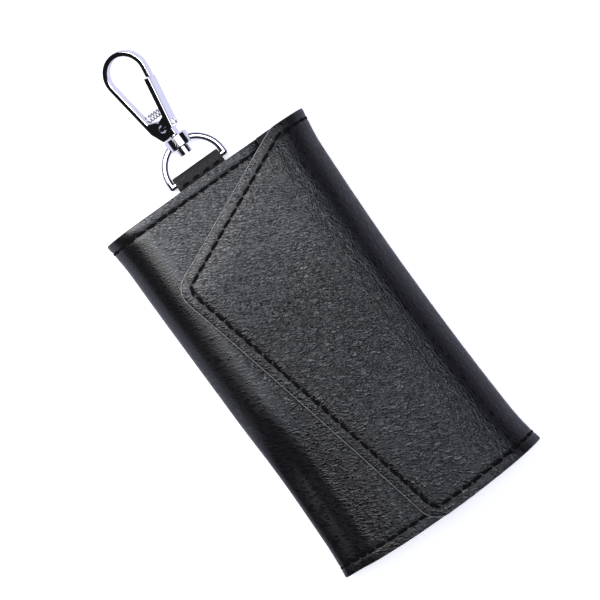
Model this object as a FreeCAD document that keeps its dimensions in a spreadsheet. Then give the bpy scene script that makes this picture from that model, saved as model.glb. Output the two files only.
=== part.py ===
import FreeCAD, Part
import math
import os
import re
import Sketcher

# Folding leather key case with a swivel snap hook, lying closed on its back.
# X runs from fold to fold, Y along the case towards the hook, Z up from the back face.
# The origin is the centre of the outer face of the back panel. All lengths are in mm.

doc = FreeCAD.newDocument("KeyCase")
sheet = doc.addObject("Spreadsheet::Sheet", "Sizes")
sizes = [
    # Case: outer sizes, layers and folds
    ("case_length", "114"),
    ("case_width", "65"),
    ("case_thick", "17"),
    ("panel_level", "13.3"),
    ("leather", "1.2"),
    ("lining", "0.8"),
    ("fold_gap", "0.3"),
    ("shoulder", "120"),
    ("low_hinge", "45"),
    ("high_hinge", "135"),
    ("band_start", "25"),
    ("right_low", "6"),
    ("left_low", "5"),
    ("half_length", "=case_length/2"),
    ("half_width", "=case_width/2"),
    ("layers", "=leather+lining"),
    ("right_high", "=(case_thick-right_low*(1-cos(shoulder)))/(1+cos(shoulder))"),
    ("left_high", "=(panel_level-left_low*(1-cos(shoulder)))/(1+cos(shoulder))"),
    ("right_low_x", "=half_width-right_low"),
    ("left_low_x", "=left_low-half_width"),
    ("right_high_x", "=right_low_x+(right_low-right_high)*sin(shoulder)"),
    ("right_high_z", "=right_low-(right_low-right_high)*cos(shoulder)"),
    ("left_high_x", "=left_low_x-(left_low-left_high)*sin(shoulder)"),
    ("left_high_z", "=left_low-(left_low-left_high)*cos(shoulder)"),
    ("low_slit", "=fold_gap/2/right_low*180/pi"),
    ("high_slit", "=fold_gap/2/right_high*180/pi"),
    ("left_slit", "=fold_gap/2/left_high*180/pi"),

    # Flap and front panel outlines
    ("flap_top_x", "22.5"),
    ("flap_tip_x", "-25.6"),
    ("flap_tip_drop", "22"),
    ("flap_low_x", "-4.6"),
    ("corner_round", "4.5"),
    ("tip_round", "6.3"),
    ("flap_tip_y", "=half_length-flap_tip_drop"),
    ("panel_tip_x", "20.5"),
    ("droop_run", "9"),
    ("droop", "2.5"),

    # Snaps: two pairs on the flap and the front panel
    ("snap_one_x", "-8"),
    ("snap_one_drop", "31"),
    ("snap_two_x", "7"),
    ("snap_two_rise", "17"),
    ("socket_r", "4.9"),
    ("socket_thick", "1.4"),
    ("socket_hole_r", "2.4"),
    ("socket_post_r", "2.6"),
    ("socket_wire_r", "0.25"),
    ("stud_neck_r", "1.35"),
    ("stud_head_r", "1.6"),
    ("stud_base_r", "4"),
    ("stud_base_thick", "0.4"),
    ("stud_reach", "1.3"),
    ("back_disc_r", "3.5"),
    ("back_disc_thick", "0.4"),
    ("fit", "0.05"),
    ("snap_one_y", "=half_length-snap_one_drop"),
    ("snap_two_y", "=snap_two_rise-half_length"),

    # Split ring and its tab on the inside of the front panel
    ("ring_x", "-2.4"),
    ("tab_edge", "10"),
    ("ring_r", "15.2"),
    ("ring_wire_r", "0.65"),
    ("ring_turn_gap", "0.46"),
    ("ring_step_at", "40"),
    ("ring_step", "40"),
    ("tab_width", "18"),
    ("tab_layer", "1"),
    ("slot_r", "1.85"),
    ("slot_run", "2.6"),
    ("ring_seat", "0.55"),
    ("tab_reach", "21"),
    ("tab_rivet_drop", "10"),
    ("tab_rivet_r", "5.2"),
    ("tab_rivet_high", "1.3"),
    ("tab_shank_r", "1.8"),
    ("panel_inside", "=panel_level-layers"),
    ("ring_y", "=tab_edge+tab_reach+ring_r-half_length"),
    ("ring_level", "=panel_inside-tab_layer-slot_r"),
    ("slot_low_y", "=ring_y-ring_r+ring_seat"),
    ("slot_high_y", "=slot_low_y+slot_run"),
    ("tab_round_y", "=ring_y-ring_r-tab_reach+tab_width/2"),
    ("tab_rivet_y", "=ring_y-ring_r-tab_rivet_drop"),

    # Key rack and its seven hooks
    ("rack_count", "7"),
    ("rack_side", "6.6"),
    ("rack_clear", "1"),
    ("rack_plate_high", "6"),
    ("rack_plate_thick", "0.8"),
    ("rack_pad_gap", "1.8"),
    ("rack_pad_high", "4.4"),
    ("rack_pad_thick", "0.3"),
    ("rack_web", "2.2"),
    ("knuckle_r", "1.4"),
    ("rod_r", "0.75"),
    ("rod_rise", "1.6"),
    ("rod_drop", "1.5"),
    ("rack_head_r", "1.4"),
    ("rack_head_high", "0.6"),
    ("rack_shank_r", "0.8"),
    ("eye_side_gap", "0.25"),
    ("eye_fit", "0.1"),
    ("strip_thick", "0.8"),
    ("hook_bend_r", "1.7"),
    ("hook_drop", "7.4"),
    ("hook_return", "3.2"),
    ("hook_width", "3.2"),
    ("keeper_thick", "0.35"),
    ("keeper_width", "2.6"),
    ("rack_width", "=case_width-2*rack_side"),
    ("rack_pitch", "=rack_width/rack_count"),
    ("rack_pad_width", "=rack_pitch-rack_pad_gap"),
    ("rod_z", "=layers+rod_rise"),
    ("eye_width", "=rack_pitch-rack_web-2*eye_side_gap"),

    # Strap at the top edge, ring with swivel collar, and snap hook
    ("strap_width", "15.4"),
    ("strap_layer", "0.8"),
    ("strap_tail", "4.5"),
    ("rack_top_y", "=half_length-strap_tail-rack_clear"),
    ("rod_y", "=rack_top_y-rack_plate_high-rod_drop"),
    ("strap_out", "5"),
    ("bar_r", "1"),
    ("bar_fit", "0.15"),
    ("dee_gap", "0.2"),
    ("dee_leg", "0.9"),
    ("dee_tilt", "4.5"),
    ("hook_roll", "30"),
    ("collar_r", "3.7"),
    ("collar_high", "3.8"),
    ("stem_r", "1.5"),
    ("stem_fit", "0.06"),
    ("stem_head_r", "1.9"),
    ("stem_head_high", "2.2"),
    ("swivel_gap", "0.12"),
    ("loop_x", "-0.95"),
    ("loop_y", "33.4"),
    ("loop_r", "7.05"),
    ("limb", "1.55"),
    ("limb_deep", "2.6"),
    ("limb_lean", "9"),
    ("limb_round", "0.3"),
    ("nose_drop", "3.3"),
    ("nose_slope", "0.6"),
    ("base_top", "17.6"),
    ("base_low_x", "-3.4"),
    ("base_high_x", "1.6"),
    ("base_step_x", "0.75"),
    ("base_step", "14.4"),
    ("pivot_x", "-0.5"),
    ("pivot_y", "15"),
    ("pivot_r", "0.9"),
    ("pivot_fit", "0.05"),
    ("cheek_r", "2.05"),
    ("cheek", "0.9"),
    ("cheek_fit", "0.1"),
    ("gate_wall", "1.2"),
    ("gate_round", "0.5"),
    ("gate_heel", "3.2"),
    ("gate_gap", "0.2"),
    ("gate_web_low", "16"),
    ("rivet_head_r", "1.2"),
    ("rivet_head_high", "0.55"),
    ("spring_y", "19.6"),
    ("spring_r", "1"),
    ("spring_wire_r", "0.2"),
    ("spring_turns", "5.5"),
    ("spring_start", "-3.85"),
    ("spring_end", "1.75"),
    ("dee_half", "=strap_width/2+dee_gap+bar_r"),
    ("strap_loop_r", "=bar_r+bar_fit+strap_layer"),
    ("bar_y", "=half_length+strap_out-strap_loop_r"),
    ("bar_z", "=leather+strap_loop_r"),
    ("collar_y", "=dee_leg+dee_half"),
    ("collar_top", "=collar_y+collar_high/2"),
    ("collar_low", "=collar_y-collar_high/2"),
    ("gate_deep", "=limb_deep+2*cheek_fit+2*cheek"),
    ("base_low", "=collar_top+swivel_gap"),
    ("inner_r", "=loop_r-limb"),
    ("left_out_x", "=loop_x-loop_r*cos(limb_lean)"),
    ("right_out_x", "=loop_x+loop_r*cos(limb_lean)"),
    ("out_y", "=loop_y-loop_r*sin(limb_lean)"),
    ("left_in_x", "=loop_x-inner_r*cos(limb_lean)"),
    ("right_in_x", "=loop_x+inner_r*cos(limb_lean)"),
    ("in_y", "=loop_y-inner_r*sin(limb_lean)"),
    ("nose_x", "=right_out_x-nose_drop*tan(limb_lean)"),
    ("nose_y", "=out_y-nose_drop"),
    ("gate_reach", "=sqrt((nose_x-pivot_x)^2+(nose_y-pivot_y)^2)-gate_gap"),
    ("gate_tip", "=atan((nose_y-pivot_y)/(nose_x-pivot_x))"),
    ("gate_tip_in", "=gate_tip + 6.6 deg"),
    ("gate_tip_x", "=pivot_x+gate_reach*cos(gate_tip)"),
    ("gate_tip_y", "=pivot_y+gate_reach*sin(gate_tip)"),
    ("gate_foot", "-11.5"),
    ("gate_foot_x", "=pivot_x+gate_heel*cos(gate_foot)"),
    ("gate_foot_y", "=pivot_y+gate_heel*sin(gate_foot)"),
    ("gate_slope", "=(gate_tip_x-gate_foot_x)/(gate_tip_y-gate_foot_y)"),
    ("gate_solid", "25"),
    ("gate_neck_y", "18"),
    ("gate_neck", "1.65"),
]
aliases = []
for alias, text in sizes:
    row = str(len(aliases) + 1)
    sheet.set("A" + row, alias.replace("_", " "))
    sheet.set("B" + row, text)
    sheet.setAlias("B" + row, alias)
    aliases.append(alias)
doc.recompute()


def bound(text):
    """An expression of named sizes as it is written outside the sheet."""
    return re.sub(r"[a-z][a-z_]*[a-z]", lambda m: "Sizes." + m[0] if m[0] in aliases else m[0], text)


slate = doc.addObject("Spreadsheet::Sheet", "Slate")


def number(text):
    """Works out an expression of named sizes on a slate of its own."""
    slate.set("A1", "=" + bound(text))
    slate.recompute()
    return float(slate.get("A1"))


def bind(thing, **values):
    """Ties properties of one object to expressions of named sizes."""
    for name, text in values.items():
        thing.setExpression(name, bound(text))
    return thing


def settle(thing, x="0", y="0", z="0", axis=(0, 0, 1), turn=0):
    """Sets a turn and ties the place of an object to named sizes."""
    place = FreeCAD.Vector(number(x), number(y), number(z))
    thing.Placement = FreeCAD.Placement(place, FreeCAD.Rotation(FreeCAD.Vector(*axis), turn))
    for key, text in (("x", x), ("y", y), ("z", z)):
        thing.setExpression("Placement.Base." + key, bound(text))
    return thing


def new_body(label):
    thing = doc.addObject("PartDesign::Body", label)
    thing.Label = label
    return thing


def sketch_on(body, role, loops=(), circles=(), level="0"):
    """Draws closed loops and circles on one origin plane of a body, tied to named sizes.

    A loop is a list of corners (x, y) reached by a line, or (x, y, radius, turn) reached by
    an arc, with turn 1 to the left and -1 to the right. A circle is (x, y, radius). The level
    lifts the sketch off its plane.
    """
    plane = [f for f in body.Origin.OriginFeatures if f.Role == role][0]
    sketch = body.newObject("Sketcher::SketchObject", body.Label + "_sketch")
    sketch.AttachmentSupport = (plane, [""])
    sketch.MapMode = "FlatFace"
    sketch.setExpression("AttachmentOffset.Base.z", bound(level))
    up = FreeCAD.Vector(0, 0, 1)

    def tie(kind, text, *where):
        index = sketch.addConstraint(Sketcher.Constraint(kind, *where, number(text)))
        sketch.setExpression("Constraints[%d]" % index, bound(text))

    for loop in loops:
        corners = [FreeCAD.Vector(number(c[0]), number(c[1]), 0) for c in loop]
        edges = []
        for i, corner in enumerate(loop):
            start, end = corners[i - 1], corners[i]
            if len(corner) == 2:
                edges.append((sketch.addGeometry(Part.LineSegment(start, end)), 1, 2))
                continue
            radius, turn = number(corner[2]), corner[3]
            chord = end - start
            rise = math.sqrt(max(radius ** 2 - chord.Length ** 2 / 4, 0))
            side = up.cross(chord).normalize() * turn
            centre = (start + end) * 0.5 + side * rise
            first, last = (start, end) if turn == 1 else (end, start)
            angle_a = math.atan2(first.y - centre.y, first.x - centre.x)
            angle_b = math.atan2(last.y - centre.y, last.x - centre.x)
            arc = Part.ArcOfCircle(Part.Circle(centre, up, radius), angle_a, angle_b)
            edges.append((sketch.addGeometry(arc), 1, 2) if turn == 1 else (sketch.addGeometry(arc), 2, 1))
            tie("Radius", corner[2], edges[-1][0])
        for i, corner in enumerate(loop):
            here, before = edges[i], edges[i - 1]
            sketch.addConstraint(Sketcher.Constraint("Coincident", before[0], before[2], here[0], here[1]))
            tie("DistanceX", corner[0], -1, 1, here[0], here[2])
            tie("DistanceY", corner[1], -1, 1, here[0], here[2])
    for x, y, radius in circles:
        middle = FreeCAD.Vector(number(x), number(y), 0)
        ring = sketch.addGeometry(Part.Circle(middle, up, number(radius)))
        tie("Radius", radius, ring)
        tie("DistanceX", x, -1, 1, ring, 3)
        tie("DistanceY", y, -1, 1, ring, 3)
    return sketch


def grow(body, sketch, length):
    """Pads a sketch to both sides of its plane."""
    pad = body.newObject("PartDesign::Pad", body.Label + "_pad")
    pad.Profile = sketch
    pad.SideType = "Symmetric"
    bind(pad, Length=length)
    doc.recompute()
    return pad


def carve(body, sketch, length):
    """Cuts a sketch to both sides of its plane."""
    pocket = body.newObject("PartDesign::Pocket", body.Label + "_pocket")
    pocket.Profile = sketch
    pocket.SideType = "Symmetric"
    bind(pocket, Length=length)
    doc.recompute()
    return pocket


def round_edges(body, radius, chosen):
    """Rounds the edges of the last feature that the test picks."""
    last = body.Tip
    names = ["Edge%d" % (i + 1) for i, e in enumerate(last.Shape.Edges) if chosen(e)]
    fillet = body.newObject("PartDesign::Fillet", body.Label + "_round")
    fillet.Base = (last, names)
    bind(fillet, Radius=radius)
    doc.recompute()
    return fillet


def block(label, length, width, height, x, y, z):
    """A box given by its sizes and the middle of its lower face."""
    thing = doc.addObject("Part::Box", label)
    bind(thing, Length=length, Width=width, Height=height)
    return settle(thing, "%s - (%s)/2" % (x, length), "%s - (%s)/2" % (y, width), z)


def post(label, radius, height, x, y, z, axis=(0, 0, 1), turn=0):
    """A round post that starts at a place and runs along its turned axis."""
    thing = doc.addObject("Part::Cylinder", label)
    bind(thing, Radius=radius, Height=height)
    return settle(thing, x, y, z, axis, turn)


def dome(label, radius, height, x, y, z, axis=(0, 0, 1), turn=0):
    """A low button that tapers over its height."""
    thing = doc.addObject("Part::Cone", label)
    bind(thing, Radius1=radius, Radius2="0.6*(%s)" % radius, Height=height)
    return settle(thing, x, y, z, axis, turn)


def fuse(label, things):
    thing = doc.addObject("Part::MultiFuse", label)
    thing.Shapes = things
    thing.Label = label
    return thing


def cut(label, base, tool):
    thing = doc.addObject("Part::Cut", label)
    thing.Base = base
    thing.Tool = tool
    thing.Label = label
    return thing


def gather(label, things):
    thing = doc.addObject("Part::Compound", label)
    thing.Links = things
    thing.Label = label
    return thing


nodes = []

# Outer leather and inner lining, drawn as sections across the folds
def layer_spot(spot, depth):
    """Corner of a layer at one depth: a run at a level, or an angle on one of the four fold arcs."""
    if spot[0] == "back":
        return spot[1], depth
    if spot[0] == "front":
        return spot[1], "%s - (%s)" % (spot[2], depth)
    side, part, phi = spot
    sign = "+" if side == "right" else "-"
    middle_z = side + ("_high_z" if part == "high" else "_low")
    arm = "(%s_%s - (%s))" % (side, part, depth)
    return "%s_%s_x %s %s*sin(%s)" % (side, part, sign, arm, phi), "%s - %s*cos(%s)" % (middle_z, arm, phi)


def fold_layer(label, path, out, inside):
    """Pads one layer between two depths; path gives each spot and the radius of the arc before it."""
    loop = []
    for depth, turn, steps in ((out, 1, path), (inside, -1, path[::-1])):
        for i, (spot, arc) in enumerate(steps):
            joined = arc if turn == 1 else steps[i - 1][1]
            if i == 0 or not joined:
                loop.append(layer_spot(spot, depth))
            else:
                loop.append(layer_spot(spot, depth) + ("%s - (%s)" % (joined, depth), turn))
    body = new_body(label)
    grow(body, sketch_on(body, "XZ_Plane", [loop]), "case_length")
    nodes.append(body)
    return body


left_top = ("left", "high", "high_hinge - left_slit")
left_join = ("left", "low", "shoulder")
left_start = ("left", "low", "band_start")
left_foot = ("back", "left_low_x")
right_foot = ("back", "right_low_x")
right_end = ("right", "low", "low_hinge - low_slit")
spine_low = ("right", "low", "low_hinge + low_slit")
spine_join = ("right", "low", "shoulder")
spine_high = ("right", "high", "high_hinge - high_slit")
flap_root = ("right", "high", "high_hinge + high_slit")
flap_flat = ("front", "right_high_x", "case_thick")
flap_end = ("front", "flap_tip_x - 1", "case_thick")
panel_end = ("front", "panel_tip_x", "panel_level - droop")
panel_bend = ("front", "panel_tip_x - droop_run", "panel_level")
panel_flat = ("front", "left_high_x", "panel_level")
panel_root = ("left", "high", "high_hinge + left_slit")

back_path = [(left_top, None), (left_join, "left_high"), (left_foot, "left_low")]
back_path += [(right_foot, None), (right_end, "right_low")]
lining_path = [(left_start, None), (left_foot, "left_low"), (right_foot, None), (right_end, "right_low")]
band_path = [(left_top, None), (left_join, "left_high"), (left_start, "left_low")]
spine_path = [(spine_low, None), (spine_join, "right_low"), (spine_high, "right_high")]
flap_path = [(flap_root, None), (flap_flat, "right_high"), (flap_end, None)]
panel_path = [(panel_end, None), (panel_bend, None), (panel_flat, None), (panel_root, "left_high")]

back_leather = fold_layer("back_leather", back_path, "0", "leather")
back_lining = fold_layer("back_lining", lining_path, "leather", "layers")
left_band = fold_layer("left_band", band_path, "leather", "layers")
spine_leather = fold_layer("right_spine_leather", spine_path, "0", "leather")
right_band = fold_layer("right_band", spine_path, "leather", "layers")
flap_leather = fold_layer("flap_leather", flap_path, "0", "leather")
flap_lining = fold_layer("flap_lining", flap_path, "leather", "layers")
front_leather = fold_layer("front_leather", panel_path, "0", "leather")
front_lining = fold_layer("front_lining", panel_path, "leather", "layers")


# Slanted outline of the flap and rounded corners of flap and front panel
def upright(edge, x, y):
    """True for a straight edge along Z at one place."""
    a, b = edge.Vertexes[0].Point, edge.Vertexes[-1].Point
    flat = math.hypot(a.x - b.x, a.y - b.y)
    return flat < 0.01 and math.hypot(a.x - x, a.y - y) < 0.1


slant = [("flap_top_x", "half_length"), ("flap_tip_x", "flap_tip_y"), ("flap_low_x", "-half_length")]
slant += [("flap_low_x", "-half_length - 5"), ("-case_width", "-half_length - 5")]
slant += [("-case_width", "half_length + 5"), ("flap_top_x", "half_length + 5")]
tip = number("flap_tip_x"), number("flap_tip_y")
low = number("flap_low_x"), -number("half_length")
for body in (flap_leather, flap_lining):
    carve(body, sketch_on(body, "XY_Plane", [slant]), "4*case_thick")
    round_edges(body, "tip_round", lambda e: upright(e, *tip))
    round_edges(body, "corner_round", lambda e: upright(e, *low))
out_x = "panel_tip_x + 1"
for body in (front_leather, front_lining):
    for side, turn in (("", -1), ("-", 1)):
        in_y, out_y = side + "(half_length - corner_round)", side + "(half_length + 1)"
        corner = [("panel_tip_x - corner_round", side + "half_length"), ("panel_tip_x", in_y, "corner_round", turn)]
        corner += [(out_x, in_y), (out_x, out_y), ("panel_tip_x - corner_round", out_y)]
        carve(body, sketch_on(body, "XY_Plane", [corner]), "4*case_thick")


# Snaps: studs on the front panel, spring sockets under the flap, discs between the layers
snaps = [("snap_one_x", "snap_one_y"), ("snap_two_x", "snap_two_y")]
panel_seam = "panel_level - leather"
flap_seam = "case_thick - leather"
flap_inside = "case_thick - layers"
stud_holes = [(x, y, "stud_neck_r + fit") for x, y in snaps]
stud_seats = [(x, y, "stud_base_r + fit") for x, y in snaps]
disc_seats = [(x, y, "back_disc_r + fit") for x, y in snaps]
washer_seat = [("ring_x", "tab_rivet_y", "back_disc_r + fit")]
shank_hole = [("ring_x", "tab_rivet_y", "tab_shank_r + fit")]
post_holes = [(x, y, "socket_post_r + fit") for x, y in snaps]


def drill(body, circles, depth="4*case_thick", level="0"):
    """Cuts round holes or seats straight through or into a layer."""
    carve(body, sketch_on(body, "XY_Plane", circles=circles, level=level), depth)


drill(front_leather, stud_holes)
drill(front_leather, stud_seats, "2*stud_base_thick", "panel_level")
drill(front_lining, disc_seats + washer_seat, "2*back_disc_thick", panel_seam)
drill(front_lining, shank_hole)
drill(flap_lining, post_holes)
drill(flap_lining, disc_seats, "2*back_disc_thick", flap_seam)

studs, stud_backs, sockets, socket_backs, wires = [], [], [], [], []
socket_low = flap_inside + " - socket_thick"
for i, (x, y) in enumerate(snaps):
    tag = "_%d" % (i + 1)
    base = post("stud_base" + tag, "stud_base_r", "stud_base_thick", x, y, "panel_level - stud_base_thick")
    neck = post("stud_neck" + tag, "stud_neck_r", "leather + stud_reach - 0.1", x, y, panel_seam)
    head = post("stud_head" + tag, "stud_head_r", "0.4", x, y, "panel_level + stud_reach - 0.6")
    crown = dome("stud_crown" + tag, "stud_head_r", "0.2", x, y, "panel_level + stud_reach - 0.2")
    studs.append(fuse("stud" + tag, [base, neck, head, crown]))
    disc_low = panel_seam + " - back_disc_thick"
    stud_backs.append(post("stud_back" + tag, "back_disc_r", "back_disc_thick", x, y, disc_low))
    ring = post("socket_ring" + tag, "socket_r", "socket_thick - 0.35", x, y, socket_low + " + 0.35")
    lip = dome("socket_lip" + tag, "socket_r", "0.35", x, y, socket_low + " + 0.35", (1, 0, 0), 180)
    lip.setExpression("Radius2", bound("socket_r - 0.5"))
    hole = post("socket_hole" + tag, "socket_hole_r", "socket_thick", x, y, socket_low)
    rooms = []
    for side in ("-", "+"):
        name = tag + ("_low" if side == "-" else "_high")
        wire_y = "%s %s (stud_head_r + 0.15 + socket_wire_r)" % (y, side)
        wire_z = socket_low + " + 0.65"
        wires.append(post("wire" + name, "socket_wire_r", "6", x + " - 3", wire_y, wire_z, (0, 1, 0), 90))
        rooms.append(post("wire_room" + name, "socket_wire_r", "6", x + " - 3", wire_y, wire_z, (0, 1, 0), 90))
    rim = fuse("socket_rim" + tag, [ring, lip])
    sockets.append(cut("socket" + tag, rim, fuse("socket_rooms" + tag, [hole] + rooms)))
    disc = post("socket_disc" + tag, "back_disc_r", "back_disc_thick", x, y, flap_seam + " - back_disc_thick")
    stem = post("socket_post" + tag, "socket_post_r", "lining - back_disc_thick / 2", x, y, flap_inside)
    socket_backs.append(fuse("socket_back" + tag, [disc, stem]))
nodes.append(gather("snap_studs", studs))
nodes.append(gather("snap_stud_backs", stud_backs))
nodes.append(gather("snap_sockets", sockets))
nodes.append(gather("snap_socket_springs", wires))
nodes.append(gather("snap_socket_backs", socket_backs))

# Tab that holds the split ring: folded leather with a slot for the ring and a domed rivet
tab_low = "panel_inside - 2*tab_layer"
loop_low = "ring_level - slot_r - tab_layer"
tab_end = "tab_round_y - tab_width/2"
tab_side = [("slot_high_y", "panel_inside", "slot_r + tab_layer", 1)]
tab_side += [(tab_end, "panel_inside"), (tab_end, tab_low)]
tab_side += [("slot_low_y - 4.2", tab_low), ("slot_low_y - 1.2", loop_low), ("slot_high_y", loop_low)]
tab_side += [("slot_high_y + slot_r + tab_layer", "ring_level", "slot_r + tab_layer", 1)]
slot = [("slot_low_y", "ring_level - slot_r", "slot_r", 1), ("slot_high_y", "ring_level - slot_r")]
slot += [("slot_high_y + slot_r", "ring_level", "slot_r", 1)]
slot += [("slot_high_y", "ring_level + slot_r", "slot_r", 1)]
slot += [("slot_low_y", "ring_level + slot_r"), ("slot_low_y - slot_r", "ring_level", "slot_r", 1)]
ring_tab = new_body("ring_tab")
settle(ring_tab, "ring_x")
grow(ring_tab, sketch_on(ring_tab, "YZ_Plane", [tab_side, slot]), "tab_width")
half_tab = "tab_width/2"
round_end = [("-" + half_tab, "tab_round_y"), ("0", tab_end, half_tab, 1)]
round_end += [(half_tab, "tab_round_y", half_tab, 1)]
round_end += [("tab_width", "tab_round_y"), ("tab_width", tab_end + " - 5"), ("-tab_width", tab_end + " - 5")]
round_end += [("-tab_width", "tab_round_y")]
carve(ring_tab, sketch_on(ring_tab, "XY_Plane", [round_end]), "4*case_thick")
drill(ring_tab, [("0", "tab_rivet_y", "tab_shank_r + fit")])
nodes.append(ring_tab)
cap = dome("tab_cap", "tab_rivet_r", "tab_rivet_high", "ring_x", "tab_rivet_y", tab_low, (1, 0, 0), 180)
shank_long = disc_low + " - (" + tab_low + ")"
shank = post("tab_shank", "tab_shank_r", shank_long, "ring_x", "tab_rivet_y", tab_low)
nodes.append(fuse("tab_rivet", [cap, shank]))
nodes.append(post("tab_rivet_washer", "back_disc_r", "back_disc_thick", "ring_x", "tab_rivet_y", disc_low))


# Split ring: two flat turns of round wire joined by one rising step
def tube(label, edges, radius):
    """One unbroken round wire along joined edges."""
    path = Part.Wire(edges)
    start = edges[0].valueAt(edges[0].FirstParameter)
    heading = edges[0].tangentAt(edges[0].FirstParameter)
    section = Part.Wire([Part.makeCircle(radius, start, heading)])
    thing = doc.addObject("Part::Feature", label)
    thing.Shape = path.makePipeShell([section], True, False)
    return thing


ring_r = number("ring_r")
ring_step = number("ring_step")
half_rise = number("ring_wire_r + ring_turn_gap/2")


def ring_spot(angle, rise):
    turn = math.radians(angle)
    return FreeCAD.Vector(ring_r * math.cos(turn), ring_r * math.sin(turn), rise)


def flat_turn(rise):
    """One turn of the ring at a level, in four arcs that leave out the step."""
    edges = []
    for i in range(4):
        a = step_end + i * span
        spots = [ring_spot(angle, rise) for angle in (a, a + span / 2, a + span)]
        edges.append(Part.Arc(*spots).toShape())
    return edges


step_start = number("ring_step_at")
step_end = step_start + ring_step
span = (360 - ring_step) / 4
step_spots = []
step_count = 8
for i in range(step_count + 1):
    share = i / step_count
    rise = half_rise * (2 * share * share * (3 - 2 * share) - 1)
    step_spots.append(ring_spot(step_start + share * ring_step, rise))
leave, arrive = ring_spot(step_start + 90, 0), ring_spot(step_end + 90, 0)
step_curve = Part.BSplineCurve()
step_curve.interpolate(Points=step_spots, InitialTangent=leave, FinalTangent=arrive)
ring_edges = flat_turn(-half_rise) + [step_curve.toShape()] + flat_turn(half_rise)
key_ring = tube("key_ring", ring_edges, number("ring_wire_r"))
settle(key_ring, "ring_x", "ring_y", "ring_level")
nodes.append(key_ring)

# Key rack: riveted plate with raised squares, knuckles and a rod
rack_mid_y = "rack_top_y - rack_plate_high/2"
pieces = [block("rack_strip", "rack_width", "rack_plate_high", "rack_plate_thick", "0", rack_mid_y, "layers")]
rack_count = int(number("rack_count"))
half_count = (rack_count - 1) // 2
pad_top = "rack_plate_thick + rack_pad_thick"
for i in range(-half_count, half_count + 1):
    name = "rack_pad_%d" % (i + half_count + 1)
    x = "%d*rack_pitch" % i
    pieces.append(block(name, "rack_pad_width", "rack_pad_high", pad_top, x, rack_mid_y, "layers"))
web_long = "rod_drop + 0.2"
web_mid_y = "rod_y + (" + web_long + ")/2"
for i in range(rack_count + 1):
    x = "(%d - rack_count/2)*rack_pitch" % i
    wide = "rack_web"
    if i in (0, rack_count):
        wide = "rack_web/2"
        x += " + rack_web/4" if i == 0 else " - rack_web/4"
    low_x = x + " - (" + wide + ")/2"
    pieces.append(block("rack_web_%d" % (i + 1), wide, web_long, "rack_plate_thick", x, web_mid_y, "layers"))
    pieces.append(post("rack_knuckle_%d" % (i + 1), "knuckle_r", wide, low_x, "rod_y", "rod_z", (0, 1, 0), 90))
holes = [post("rod_bore", "rod_r", "rack_width + 2", "-rack_width/2 - 1", "rod_y", "rod_z", (0, 1, 0), 90)]
rivet_places = ["-2*rack_pitch", "2*rack_pitch"]
heads = []
for i, x in enumerate(rivet_places):
    holes.append(post("rack_hole_%d" % (i + 1), "rack_shank_r + fit", "3", x, rack_mid_y, "leather"))
    head = dome("rack_head_%d" % (i + 1), "rack_head_r", "rack_head_high", x, rack_mid_y, "layers + " + pad_top)
    shank = post("rack_shank_%d" % (i + 1), "rack_shank_r", "lining + " + pad_top, x, rack_mid_y, "leather")
    heads.append(fuse("rack_rivet_%d" % (i + 1), [head, shank]))
nodes.append(cut("rack_plate", fuse("rack_blank", pieces), fuse("rack_holes", holes)))
nodes.append(post("rack_rod", "rod_r", "rack_width", "-rack_width/2", "rod_y", "rod_z", (0, 1, 0), 90))
nodes.append(gather("rack_rivets", heads))
drill(back_lining, [(x, rack_mid_y, "rack_shank_r + fit") for x in rivet_places])
notch_low, notch_side = "half_length - strap_tail - fit", "strap_width/2 + fit"
notch = [("-(%s)" % notch_side, "half_length + 2"), ("-(%s)" % notch_side, notch_low)]
notch += [(notch_side, notch_low), (notch_side, "half_length + 2")]
carve(back_lining, sketch_on(back_lining, "XY_Plane", [notch]), "4*case_thick")

# Seven key hooks on the rod: rolled eye, flat shank with a turned-up end, and a spring leaf
half_strip = "strip_thick/2"
bend_z = "hook_bend_r - strip_thick/2"
bend_in = "hook_bend_r - strip_thick"
strip = [("-(rod_r + knuckle_r)/2 - 0.05", "-" + half_strip), ("-hook_drop", "-" + half_strip)]
strip += [("-hook_drop - hook_bend_r", bend_z, "hook_bend_r", -1)]
strip += [("-hook_drop", bend_z + " + hook_bend_r", "hook_bend_r", -1)]
strip += [("-hook_drop + hook_return", bend_z + " + hook_bend_r")]
strip += [("-hook_drop + hook_return", bend_z + " + " + bend_in), ("-hook_drop", bend_z + " + " + bend_in)]
strip += [("-hook_drop - (" + bend_in + ")", bend_z, bend_in, 1), ("-hook_drop", half_strip, bend_in, 1)]
strip += [("-(rod_r + knuckle_r)/2 - 0.05", half_strip)]
leaf_top = bend_z + " + " + bend_in + " - 0.12"
leaf = [("-2", half_strip), ("-2 + 1.4*keeper_thick", half_strip)]
leaf_end = "-hook_drop + hook_return - 0.1"
leaf += [(leaf_end, leaf_top), (leaf_end + " - 1.4*keeper_thick", leaf_top)]
for i in range(-half_count, half_count + 1):
    tag = "_%d" % (i + half_count + 1)
    hook = new_body("key_hook" + tag)
    settle(hook, "%d*rack_pitch" % i, "rod_y", "rod_z")
    eye = [("0", "0", "knuckle_r"), ("0", "0", "rod_r + eye_fit")]
    grow(hook, sketch_on(hook, "YZ_Plane", circles=eye), "eye_width")
    grow(hook, sketch_on(hook, "YZ_Plane", [strip]), "hook_width")
    nodes.append(hook)
    keeper = new_body("key_keeper" + tag)
    settle(keeper, "%d*rack_pitch" % i, "rod_y", "rod_z")
    grow(keeper, sketch_on(keeper, "YZ_Plane", [leaf]), "keeper_width")
    nodes.append(keeper)

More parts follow.
